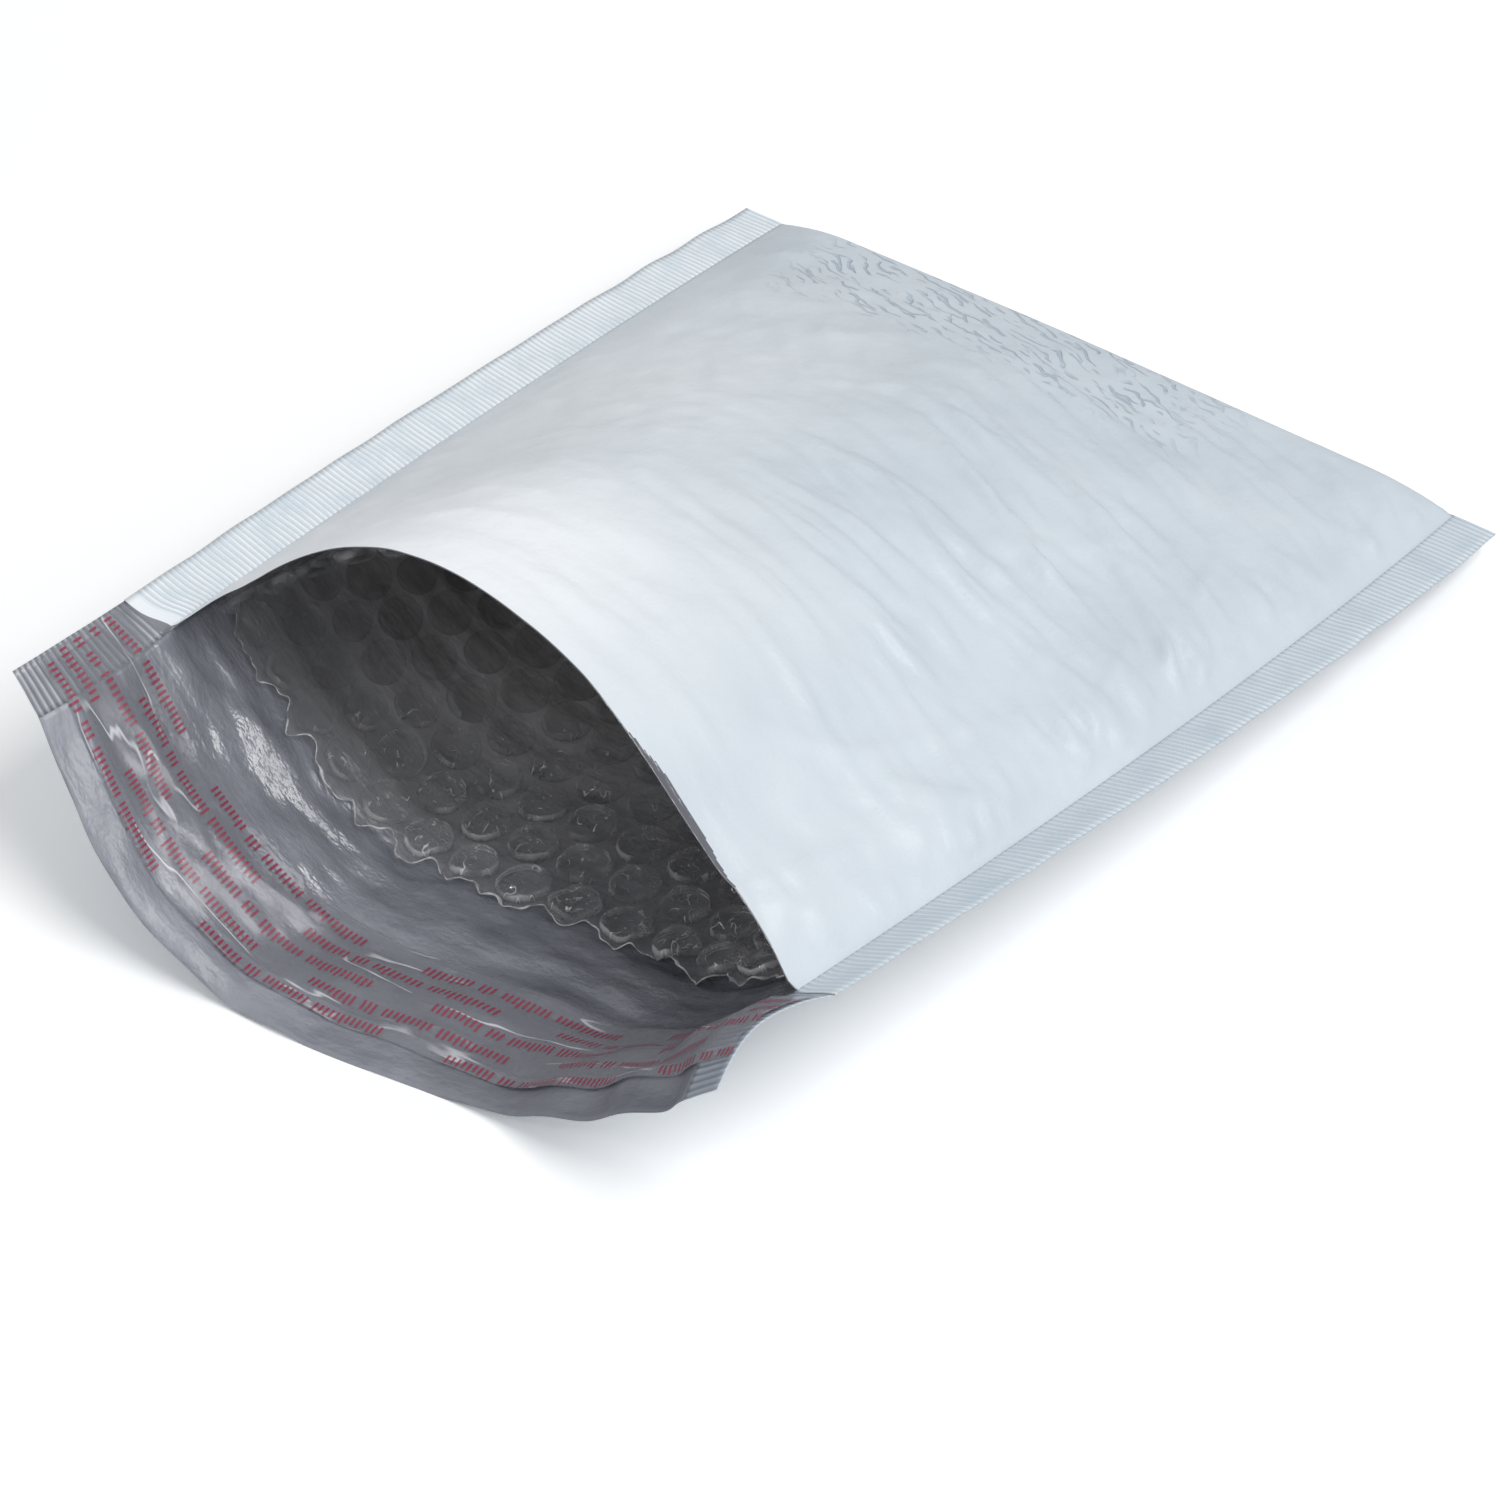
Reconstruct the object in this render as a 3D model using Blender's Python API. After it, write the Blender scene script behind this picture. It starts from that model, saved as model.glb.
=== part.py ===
# Padded envelope: a film mailer lined with bubble film, lying on its back with its mouth held open.
# The web of film is folded at the bottom edge and heat sealed along both sides, and its back
# runs on past the mouth as the closing flap, which carries an adhesive strip and its release liner.
# Frame: X across the width, -Y out of the mouth, Z up. The origin is on the table, at the mouth.
import math

import bmesh
import bpy
import numpy as np

MM = 0.001

# Flat sizes
WIDTH = 197 * MM              # over both side seals
POCKET_DEPTH = 216.5 * MM     # bottom fold to mouth, measured level
FLAP_LENGTH = 32 * MM         # past the mouth at the seals, measured level
SEAL_WIDTH = 10.5 * MM
FILM_WALL = 0.5 * MM
LINING_WALL = 0.5 * MM
CLEARANCE = 0.3 * MM          # between pieces that touch

# Bubble lining
BUBBLE_HEIGHT = 4 * MM
BUBBLE_PITCH = 11.5 * MM      # along a row
ROW_PITCH = 10 * MM
TIP_GAP = 1.2 * MM            # between the two panels' bubbles in the closed part
FRONT_SETBACK = 6 * MM        # lining's edge behind the rim
BACK_SETBACK = 14 * MM        # lining's edge behind the mouth
SIDE_INSET = 3 * MM           # lining's edge inside the seal
SWELL_RUN = 12 * MM           # from a seal's inner edge to the full thickness

# Closing flap
ADHESIVE_START = 7 * MM       # from the mouth
ADHESIVE_WIDTH = 15 * MM
LINER_START = 4 * MM
LINER_WIDTH = 21.5 * MM
STRIP_WALL = 0.3 * MM
STRIP_INSET = 1.5 * MM        # strip's ends inside the film's edges

# How the mouth is held open: each seal's inset, lift and inward tilt at the mouth,
# and what the flap adds to them at its end
LEFT_INSET, LEFT_LIFT, LEFT_TILT = 11 * MM, 37 * MM, 20
RIGHT_INSET, RIGHT_LIFT, RIGHT_TILT = 17.5 * MM, 33 * MM, 30
LEFT_FLAP_INSET, LEFT_FLAP_LIFT, LEFT_FLAP_TILT = 2.5 * MM, 6.5 * MM, 40
RIGHT_FLAP_INSET, RIGHT_FLAP_LIFT, RIGHT_FLAP_TILT = 1.5 * MM, 3.5 * MM, 17
FLAP_BOW = 3 * MM             # of the right flap edge, inward and upward
INSET_GROWTH = 1.6            # power of the distance from the fold
ARCH_GROWTH = 0.85

# The front panel's arch and the back panel's sag at the mouth
CREST = 34 * MM
CREST_SKEW = 5 * MM           # toward the left
CREST_PEAK = 3 * MM           # more height in the middle, less at the sides
CREST_SETBACK = 9 * MM        # the rim's middle behind its ends
SAG = 37 * MM
SAG_SKEW = 4.5 * MM
SAG_PEAK = 2 * MM
SAG_ADVANCE = 7.5 * MM        # the flap's middle ahead of its ends
FLAP_SPRING = 1.5 * MM        # less sag at the flap's end
FLAP_SKEW = 3.5 * MM          # less skew there
FLAP_ADVANCE = 3.5 * MM
LEAN = 2 * MM                 # of the back panel, toward the left
TABLE_BLEND = 5 * MM          # rounding where the back meets the table

LENGTH_STEP = 16 * MM         # longest facet of the film along a panel

SEAL_EDGE = WIDTH / 2 - SEAL_WIDTH
PANEL = 2 * SEAL_EDGE
LINING_DEPTH = FILM_WALL + CLEARANCE
BUBBLE_BASE = LINING_DEPTH + LINING_WALL
HALF_THICKNESS = BUBBLE_BASE + BUBBLE_HEIGHT + TIP_GAP / 2
QUARTER_FOLD = HALF_THICKNESS * math.pi / 2
ADHESIVE_DEPTH = FILM_WALL + CLEARANCE
LINER_DEPTH = ADHESIVE_DEPTH + STRIP_WALL + CLEARANCE
NORMAL_STEP = 0.05 * MM
WELD_DISTANCE = 0.002 * MM


def stations(start, end, step):
    # Even stations no further apart than the step.
    count = max(1, math.ceil((end - start) / step - 1e-6))
    return [start + (end - start) * i / count for i in range(count + 1)]


def lining_columns():
    # Stations half a bubble pitch apart, between the lining's side edges.
    return stations(SIDE_INSET - SEAL_EDGE, SEAL_EDGE - SIDE_INSET, BUBBLE_PITCH / 2)


def web_columns(inset=0):
    # Stations across the web, ending this far inside its edges: the lining's, and each seal's inner edge.
    end = WIDTH / 2 - inset
    return [-end, -SEAL_EDGE] + lining_columns() + [SEAL_EDGE, end]


def flap_rows(start, end):
    # Stations along the flap between two distances past the mouth, with one on each strip's edges.
    edges = {0, LINER_START, ADHESIVE_START, ADHESIVE_START + ADHESIVE_WIDTH / 2,
             ADHESIVE_START + ADHESIVE_WIDTH, LINER_START + LINER_WIDTH, FLAP_LENGTH}
    return [-(POCKET_DEPTH + edge) for edge in sorted(edges, reverse=True) if start <= edge <= end]


def seal_line(side, grow, flap):
    # The x, z and tilt of one side's outer edge, from its growth toward the mouth and along the flap.
    bow = FLAP_BOW * np.sin(math.pi * np.clip(flap, 0, 1))
    if side < 0:
        inset = LEFT_INSET * grow ** INSET_GROWTH + LEFT_FLAP_INSET * flap
        lift = LEFT_LIFT * grow + LEFT_FLAP_LIFT * flap
        tilt = LEFT_TILT * grow + LEFT_FLAP_TILT * flap
    else:
        inset = RIGHT_INSET * grow ** INSET_GROWTH + RIGHT_FLAP_INSET * flap + bow
        lift = RIGHT_LIFT * grow + RIGHT_FLAP_LIFT * flap + bow
        tilt = RIGHT_TILT * grow + RIGHT_FLAP_TILT * flap
    return side * (WIDTH / 2 - inset), HALF_THICKNESS + lift, np.radians(tilt)


def outer_face(across, along):
    # The web's outer face at flat distances: across from the centre line, and along from the
    # bottom fold, positive over the front panel and negative over the back panel and flap.
    s, v = np.broadcast_arrays(np.asarray(across, float), np.asarray(along, float))
    inside = np.clip((SEAL_EDGE - np.abs(s)) / SWELL_RUN, 0, 1)
    radius = FILM_WALL + (HALF_THICKNESS - FILM_WALL) * np.sin(math.pi / 2 * inside)
    turn = np.clip(np.abs(v) / radius, 0, math.pi / 2)
    level = np.maximum(np.abs(v) - radius * math.pi / 2, 0)
    half = radius * np.sin(turn)
    y = POCKET_DEPTH - radius * (1 - np.cos(turn)) - level
    grow = np.clip((POCKET_DEPTH - y) / POCKET_DEPTH, 0, 1)
    flap = np.maximum(-y / FLAP_LENGTH, 0)
    arch = grow ** ARCH_GROWTH

    share = np.clip((s + SEAL_EDGE) / PANEL, 0, 1)
    on_seal = np.minimum(SEAL_WIDTH, WIDTH / 2 - np.abs(s))
    x = 0
    z = 0
    for side in (-1, 1):
        edge_x, edge_z, tilt = seal_line(side, grow, flap)
        reach = np.where(s * side > 0, on_seal, SEAL_WIDTH)
        weight = share if side > 0 else 1 - share
        x = x + weight * (edge_x - side * reach * np.cos(tilt))
        z = z + weight * (edge_z - reach * np.sin(tilt))

    front = v >= 0
    hump = np.sin(math.pi * share)
    skew = np.sin(2 * math.pi * share)
    peak = -np.sin(3 * math.pi * share)
    rise = CREST * arch
    sag = SAG * arch - FLAP_SPRING * flap
    sag_skew = SAG_SKEW * arch - FLAP_SKEW * flap
    height = half + np.where(front, rise, sag)
    # The sideways shift keeps the flat distances along a sine arch of this height
    x = x - math.pi * height ** 2 / (8 * PANEL) * skew - np.where(front, 0, LEAN * arch * hump)
    forward = (SAG_ADVANCE * arch ** 2 + FLAP_ADVANCE * flap) * hump + SAG_SKEW * arch ** 2 * skew
    y = y + np.where(front, CREST_SETBACK * arch ** 2 * hump, -forward)
    top = z + half + rise * hump + (CREST_SKEW * skew + CREST_PEAK * peak) * arch
    low = z - half - sag * hump + sag_skew * skew - SAG_PEAK * arch * peak
    blend = np.clip(low + TABLE_BLEND, 0, 2 * TABLE_BLEND) ** 2 / (4 * TABLE_BLEND)
    low = np.where(low > TABLE_BLEND, low, blend)
    return np.stack([x, y, np.where(front, top, low)], -1)


def inward(across, along):
    # Unit normal of the web, toward the inside of the pocket, from central differences.
    s, v = np.broadcast_arrays(np.asarray(across, float), np.asarray(along, float))
    sideways = outer_face(s + NORMAL_STEP, v) - outer_face(s - NORMAL_STEP, v)
    lengthways = outer_face(s, v + NORMAL_STEP) - outer_face(s, v - NORMAL_STEP)
    normal = np.cross(sideways, lengthways)
    return normal / np.linalg.norm(normal, axis=-1, keepdims=True)


def at_depth(across, along, depth):
    # The web's surface at a depth inside its outer face.
    return outer_face(across, along) + inward(across, along) * np.asarray(depth)[..., None]


def film_inner_face(across, along):
    # The film's inner face. On the seals the two walls are one, so it is the same line for both.
    s, v = np.broadcast_arrays(np.asarray(across, float), np.asarray(along, float))
    v = np.where(np.abs(s) >= SEAL_EDGE - 1e-9, -np.abs(v), v)
    return at_depth(s, v, FILM_WALL)


def sheet(bm, across, along, place):
    # A grid of faces, whose corners place() sets from the stations across and along.
    # Returns its vertices by column and row.
    columns = len(across) - 1
    rows = len(along) - 1
    grid = bmesh.ops.create_grid(bm, x_segments=columns, y_segments=rows, size=1)
    verts = grid["verts"]
    column = [round((vert.co.x + 1) / 2 * columns) for vert in verts]
    row = [round((vert.co.y + 1) / 2 * rows) for vert in verts]
    points = place(np.array(across)[column], np.array(along)[row])
    for vert, point in zip(verts, points):
        vert.co = point
    return dict(zip(zip(column, row), verts))


def strip(bm, stations_along, first, second):
    # A strip of faces between two edge curves.
    def between(q, t):
        return (1 - q[:, None]) * first(t) + q[:, None] * second(t)
    sheet(bm, [0, 1], stations_along, between)


def material(name, colour, roughness, alpha=1.0):
    surface = bpy.data.materials.new(name)
    surface.use_nodes = True
    shader = surface.node_tree.nodes["Principled BSDF"]
    shader.inputs["Base Color"].default_value = (*colour, 1)
    shader.inputs["Roughness"].default_value = roughness
    shader.inputs["Metallic"].default_value = 0
    shader.inputs["Alpha"].default_value = alpha
    return surface


def finish(bm, name, surface, collection):
    # Weld the sheets into one closed body with its faces out.
    bmesh.ops.remove_doubles(bm, verts=bm.verts, dist=WELD_DISTANCE)
    bmesh.ops.recalc_face_normals(bm, faces=bm.faces)
    mesh = bpy.data.meshes.new(name)
    bm.to_mesh(mesh)
    bm.free()
    mesh.materials.append(surface)
    collection.objects.link(bpy.data.objects.new(name, mesh))


def outer_film(collection):
    # One web: both panels with the flap, the cavity between the seals, and the edges between them.
    bm = bmesh.new()
    whole = web_columns()
    cavity = whole[1:-1]
    fold = stations(0, QUARTER_FOLD, QUARTER_FOLD / 3)
    front = fold + stations(QUARTER_FOLD, POCKET_DEPTH, LENGTH_STEP)[1:]
    back = [-v for v in reversed(front)]
    flap = flap_rows(0, FLAP_LENGTH)
    web_end = flap[0]
    pocket = back + front[1:]

    sheet(bm, whole, flap + pocket[1:], outer_face)
    sheet(bm, cavity, pocket, film_inner_face)
    sheet(bm, whole, flap, film_inner_face)
    strip(bm, cavity, lambda s: outer_face(s, POCKET_DEPTH), lambda s: film_inner_face(s, POCKET_DEPTH))
    strip(bm, whole, lambda s: outer_face(s, web_end), lambda s: film_inner_face(s, web_end))
    for side in (-1, 1):
        edge = side * WIDTH / 2
        seal = sorted([edge, side * SEAL_EDGE])
        strip(bm, front, lambda v: outer_face(edge, v), lambda v: film_inner_face(edge, v))
        strip(bm, flap + back[1:], lambda v: outer_face(edge, v), lambda v: film_inner_face(edge, v))
        strip(bm, seal, lambda s: outer_face(s, POCKET_DEPTH), lambda s: film_inner_face(s, -POCKET_DEPTH))
    finish(bm, "outer_film", material("poly_film", (0.82, 0.85, 0.9), 0.35), collection)


def slab(bm, across, along, outer_depth, inner_depth):
    # A closed slab that follows the web between two depths. Returns its inner side's vertices.
    def outside(s, v):
        return at_depth(s, v, outer_depth)

    def inside(s, v):
        return at_depth(s, v, inner_depth)

    sheet(bm, across, along, outside)
    for edge in (across[0], across[-1]):
        strip(bm, along, lambda v: outside(edge, v), lambda v: inside(edge, v))
    for end in (along[0], along[-1]):
        strip(bm, across, lambda s: outside(s, end), lambda s: inside(s, end))
    return sheet(bm, across, along, inside)


def bubble_room(s, v):
    # Height free for a bubble before it would meet the other panel's.
    apart = outer_face(s, np.abs(v)) - outer_face(s, -np.abs(v))
    half_gap = np.abs((apart * inward(s, v)).sum(-1)) / 2
    return np.clip(half_gap - BUBBLE_BASE - TIP_GAP / 2, 0, BUBBLE_HEIGHT)


def bubble_lining(collection):
    # One web of bubble film, folded with the outer film. Its bubbles point into the pocket,
    # in rows across the width, each row half a pitch along from the last.
    bm = bmesh.new()
    across = lining_columns()
    fold = stations(-QUARTER_FOLD, QUARTER_FOLD, QUARTER_FOLD / 3)
    back = stations(BACK_SETBACK - POCKET_DEPTH, -QUARTER_FOLD, ROW_PITCH)
    front = stations(QUARTER_FOLD, POCKET_DEPTH - FRONT_SETBACK, ROW_PITCH)
    along = back + fold[1:-1] + front
    grid = slab(bm, across, along, LINING_DEPTH, BUBBLE_BASE)

    # A bubble covers two half-pitch faces of its row, and the fold has none
    cells = {}
    for row, v in enumerate(along[:-1]):
        middle = (v + along[row + 1]) / 2
        if abs(middle) < QUARTER_FOLD:
            continue
        for column in range(1 + row % 2, len(across) - 1, 2):
            shared = [grid[column, row], grid[column, row + 1]]
            cells[bm.edges.get(shared)] = (across[column], middle)
    for edge, (s, v) in cells.items():
        cell = bmesh.utils.face_join(edge.link_faces)
        tip = bmesh.ops.poke(bm, faces=[cell])["verts"][0]
        tip.co = at_depth(s, v, BUBBLE_BASE + bubble_room(s, v))
    finish(bm, "bubble_lining", material("bubble_film", (0.7, 0.73, 0.78), 0.15, 0.5), collection)


def flap_strip(name, start, width, depth, surface, collection):
    # A thin strip that lies on the flap's inner face, from one side edge to the other.
    bm = bmesh.new()
    slab(bm, web_columns(STRIP_INSET), flap_rows(start, start + width), depth, depth + STRIP_WALL)
    finish(bm, name, surface, collection)


for old in list(bpy.data.objects):
    bpy.data.objects.remove(old)
envelope = bpy.data.collections.new("padded_envelope")
bpy.context.scene.collection.children.link(envelope)

outer_film(envelope)
bubble_lining(envelope)
flap_strip("adhesive_strip", ADHESIVE_START, ADHESIVE_WIDTH, ADHESIVE_DEPTH,
           material("adhesive", (0.8, 0.8, 0.78), 0.3), envelope)
flap_strip("release_liner", LINER_START, LINER_WIDTH, LINER_DEPTH,
           material("siliconed_film", (0.78, 0.76, 0.78), 0.2), envelope)
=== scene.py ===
import math

import bpy
import numpy as np
from mathutils import Matrix, Vector


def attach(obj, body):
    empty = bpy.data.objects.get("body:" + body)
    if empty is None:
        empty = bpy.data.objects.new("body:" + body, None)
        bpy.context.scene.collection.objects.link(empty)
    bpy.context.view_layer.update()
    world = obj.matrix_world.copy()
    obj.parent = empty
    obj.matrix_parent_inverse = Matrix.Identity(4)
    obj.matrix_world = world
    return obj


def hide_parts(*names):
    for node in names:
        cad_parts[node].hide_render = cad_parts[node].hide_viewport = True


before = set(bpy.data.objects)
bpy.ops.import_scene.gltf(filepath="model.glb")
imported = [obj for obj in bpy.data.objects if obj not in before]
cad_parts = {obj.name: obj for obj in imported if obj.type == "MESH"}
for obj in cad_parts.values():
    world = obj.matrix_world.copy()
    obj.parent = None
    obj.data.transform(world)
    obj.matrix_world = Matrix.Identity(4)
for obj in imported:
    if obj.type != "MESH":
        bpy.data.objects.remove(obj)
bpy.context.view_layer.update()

# The envelope's shape. Lengths are in millimetres until a mesh is made, angles in degrees.
# s is the flat distance across the web from its centre line, v the flat distance along it from the
# bottom fold, positive over the front panel and negative over the back panel and the flap.
envelope = {
    "width": 197,
    "depth": 216.5,
    "flap": 32,
    "seal": 10.5,
    "sealHalf": 0.2,           # half the thickness of the welded edge
    "halfThickness": 5.9,      # of the closed part
    "swellRun": 20,            # from a seal's inner edge to the full thickness
    "left": {"inset": 11, "lift": 37, "tilt": 20,
             "flapInset": 2.5, "flapLift": 6.5, "flapTilt": 40, "bow": 0},
    "right": {"inset": 17.5, "lift": 33, "tilt": 30,
              "flapInset": 1.5, "flapLift": 3.5, "flapTilt": 17, "bow": 3},
    "insetGrowth": 1.6,
    "archGrowth": 0.85,
    "crest": 34, "crestSkew": 5, "crestPeak": 3, "crestShoulder": 2.2, "crestSetback": 9,
    "sag": 37, "sagSkew": 4.5, "sagPeak": 2, "sagAdvance": 7.5,
    "flapSpring": 1.5, "flapSkew": 3.5, "flapAdvance": 3.5, "flapWave": 2,
    "lean": 2,
    "tableBlend": 5, "tableGap": 0.02,      # where the web meets the table
}
sealEdge = envelope["width"] / 2 - envelope["seal"]
webEnd = envelope["depth"] + envelope["flap"]


def smoothNoise(s, v, size, seed, stretch=1.0, waves=14):
    # A sum of plane waves of about one wavelength, with directions and phases from a fixed seed,
    # and longer along s by the stretch. Its values stay near -1 to 1.
    draw = np.random.default_rng(seed)
    total = 0
    for turn, phase, pitch in zip(draw.uniform(0, math.pi, waves), draw.uniform(0, 6.28, waves),
                                  draw.uniform(0.75, 1.35, waves)):
        along = s / stretch * math.cos(turn) + v * math.sin(turn)
        total = total + np.cos(along * 2 * math.pi / (size * pitch) + phase)
    return total / math.sqrt(waves)


def fade(x, start, end):
    # Smooth step from 0 at start to 1 at end.
    t = np.clip((x - start) / (end - start), 0, 1)
    return t * t * (3 - 2 * t)


def sideEdge(side, grow, flap):
    # One side's outer edge: its inset, height and inward tilt grow with powers of the distance
    # from the fold, and then in a straight line along the flap, with a half sine bow.
    e = envelope["left" if side < 0 else "right"]
    bow = e["bow"] * np.sin(math.pi * np.clip(flap, 0, 1))
    inset = e["inset"] * grow ** envelope["insetGrowth"] + e["flapInset"] * flap + bow
    lift = envelope["halfThickness"] + e["lift"] * grow + e["flapLift"] * flap + bow
    tilt = np.radians(e["tilt"] * grow + e["flapTilt"] * flap)
    return side * (envelope["width"] / 2 - inset), lift, tilt


def webFace(s, v):
    # The web's outer face. A fold of the local half thickness turns into two level panels; the sides
    # follow their edges, and between them the front rises and the back sags by sums of sines.
    # The back is rounded off where it meets the table at z = 0.
    e = envelope
    s, v = np.broadcast_arrays(np.asarray(s, float), np.asarray(v, float))
    swell = np.sin(math.pi / 2 * np.clip((sealEdge - np.abs(s)) / e["swellRun"], 0, 1))
    radius = e["sealHalf"] + (e["halfThickness"] - e["sealHalf"]) * swell
    turn = np.clip(np.abs(v) / radius, 0, math.pi / 2)
    half = radius * np.sin(turn)
    y = e["depth"] - radius * (1 - np.cos(turn)) - np.maximum(np.abs(v) - radius * math.pi / 2, 0)
    grow = np.clip(1 - y / e["depth"], 0, 1)
    flap = np.maximum(-y / e["flap"], 0)
    arch = grow ** e["archGrowth"]
    share = np.clip((s + sealEdge) / (2 * sealEdge), 0, 1)
    onSeal = np.minimum(e["seal"], e["width"] / 2 - np.abs(s))
    x = 0
    z = 0
    for side in (-1, 1):
        edgeX, edgeZ, tilt = sideEdge(side, grow, flap)
        reach = np.where(s * side > 0, onSeal, e["seal"])
        weight = share if side > 0 else 1 - share
        x = x + weight * (edgeX - side * reach * np.cos(tilt))
        z = z + weight * (edgeZ - reach * np.sin(tilt))
    front = v >= 0
    sine = [np.sin(n * math.pi * share) for n in range(6)]
    rise = e["crest"] * arch
    sag = e["sag"] * arch - e["flapSpring"] * flap
    height = half + np.where(front, rise, sag)
    x = x - math.pi * height ** 2 / (16 * sealEdge) * sine[2]
    x = x - np.where(front, 0, e["lean"] * arch * sine[1])
    frontShift = (e["crestSetback"] * sine[1] - e["crestPeak"] * 0.6 * sine[3]) * arch ** 2
    backShift = (e["sagAdvance"] * arch ** 2 + e["flapAdvance"] * flap) * sine[1]
    backShift = backShift + e["sagSkew"] * arch ** 2 * sine[2]
    backShift = backShift + e["flapWave"] * flap * (sine[3] + 0.5 * sine[5])
    y = y + np.where(front, frontShift, -backShift)
    top = z + half + rise * sine[1] + (e["crestSkew"] * sine[2] - e["crestPeak"] * sine[3]) * arch
    top = top - e["crestShoulder"] * sine[5] * arch ** 2
    low = z - half - sag * sine[1] + (e["sagSkew"] * arch - e["flapSkew"] * flap) * sine[2]
    low = low + e["sagPeak"] * arch * sine[3]
    blend = e["tableBlend"]
    low = np.where(low > blend, low, np.clip(low + blend, 0, 2 * blend) ** 2 / (4 * blend))
    return np.stack([x, y, np.where(front, top, low)], -1)


def inward(s, v):
    # Unit normal toward the inside of the pocket, from central differences of webFace.
    step = 0.05
    across = webFace(s + step, v) - webFace(s - step, v)
    along = webFace(s, v + step) - webFace(s, v - step)
    normal = np.cross(across, along)
    return normal / np.linalg.norm(normal, axis=-1, keepdims=True)


# Relief of the film: what the bubbles, the welds and handling leave in it. Each crease field is a seed,
# a count, its box in s and v, and the limits of the creases' length, width and turn in radians.
relief = {
    "row": 10, "pitch": 11.5, "bend": 3.5, "rowTurn": 0.4, "rowFan": 0.0018, "calm": 0.62,
    "rowHeight": 0.36, "cellHeight": 0.16, "unevenHeight": 0.16, "waveHeight": 0.45,
    "puckerHeight": 0.95, "puckerLevel": 0.9, "crestHeight": 0.36, "crestLevel": 0.3,
    "pleatHeight": 0.8, "cornerHeight": 0.5, "steepHeight": 0.6,
    "rippleHeight": 0.6, "foldHeight": 0.5, "endWave": 0.8,
    "puckers": ((29, 105, (-22, 84, 14, 118), (9, 28), (0.85, 1.6), (0.15, 0.5)),
                (30, 105, (-22, 84, 104, 212), (9, 28), (0.85, 1.6), (-0.15, 0.25))),
    "crest": ((33, 150, (-78, 5, 14, 212), (3, 9), (0.9, 1.7), (-0.9, 0.9)),),
    "corner": ((43, 7, (52, 78, 150, 212), (14, 30), (1.4, 2.6), (-1.35, -0.75)),),
    "steep": ((47, 12, (66, 86, 12, 150), (6, 13), (0.9, 1.6), (0.8, 1.3)),),
    "folds": ((57, 26, (-80, 80, 196, 244), (12, 34), (1.6, 3.0), (-0.35, 0.35)),),
    "pleats": {"count": 34, "in": 6, "reach": 5, "limits": ((4, 11), (0.8, 1.6), (-0.5, 0.6)),
               "sides": ((-1, 31, 0.5), (1, 37, 1))},      # side, seed, strength
}


def creaseField(s, v, seed, count, box, length, width, turn):
    # Sum of short soft ridges at seeded places in a box of (s, v): each falls off as a bell along
    # its length and as 1 / (1 + d^2) across it.
    draw = np.random.default_rng(seed)
    limits = (box[:2], box[2:], length, turn, width)
    total = 0
    for cs, cv, size, angle, wide in zip(*[draw.uniform(low, high, count) for low, high in limits]):
        along = (s - cs) * math.cos(angle) + (v - cv) * math.sin(angle)
        across = (v - cv) * math.cos(angle) - (s - cs) * math.sin(angle)
        across = across + 0.02 * along ** 2 / size * (1 if cs > 0 else -1)
        total = total + np.exp(-(along / size) ** 2) / (1 + (across / wide) ** 2)
    return total


def creases(s, v, name):
    # Sum of the crease fields of one name.
    return sum(creaseField(s, v, *field) for field in relief[name])


def softRelief(s, v):
    # The front panel's long soft waves, from noise faded out at its edges. Its lining follows them too.
    inside = fade(sealEdge - np.abs(s), 1, 12) * fade(v, 6, 16)
    return relief["waveHeight"] * smoothNoise(s, v, 64, 9) * inside


def frontRelief(s, v):
    # Outward height of the front panel's film: faint rows over the bubbles, soft puckers that slant down
    # the right slope at its far end and run straight down nearer the mouth, finer creases along the
    # crest, pleats along both seals, longer folds from the right corner of the mouth, steep ones that
    # end at the right seal, and the long soft waves.
    r = relief
    fromSeal = sealEdge - np.abs(s)
    bend = smoothNoise(s, v, 46, 3) * r["bend"]
    rows = np.cos(2 * math.pi * (v + bend - r["rowTurn"] * s + r["rowFan"] * s * v) / r["row"])
    lattice = np.cos(2 * math.pi * (s + bend * 0.7) / r["pitch"]) * np.cos(math.pi * (v + bend) / r["row"])
    strength = 0.5 + 0.5 * smoothNoise(s, v, 38, 5)
    inside = fade(fromSeal, 1, 12) * fade(v, 6, 16)
    right = fade(s, -25, 20)
    calm = 1 - r["calm"] * fade(v, 110, 190)
    height = r["rowHeight"] * rows * (0.6 + 0.8 * right) + r["cellHeight"] * lattice
    height = height * strength * inside * calm
    height = height + r["unevenHeight"] * smoothNoise(s, v, 15, 8, 1.6) * inside + softRelief(s, v)
    lines = creases(s, v, "puckers") - r["puckerLevel"]
    height = height + r["puckerHeight"] * lines * right * inside * calm
    lines = creases(s, v, "crest") - r["crestLevel"]
    height = height + r["crestHeight"] * lines * (1 - right) * inside
    pleats = r["pleats"]
    for side, seed, share in pleats["sides"]:
        middle = side * (sealEdge - pleats["in"])
        box = (middle - pleats["reach"], middle + pleats["reach"], 4, envelope["depth"] - 4)
        lines = creaseField(s, v, seed, pleats["count"], box, *pleats["limits"])
        height = height + r["pleatHeight"] * lines * fade(fromSeal, 0.5, 5) * share
    height = height + r["cornerHeight"] * creases(s, v, "corner") * inside
    return height + r["steepHeight"] * creases(s, v, "steep") * fade(fromSeal, 0.5, 4)


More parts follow.
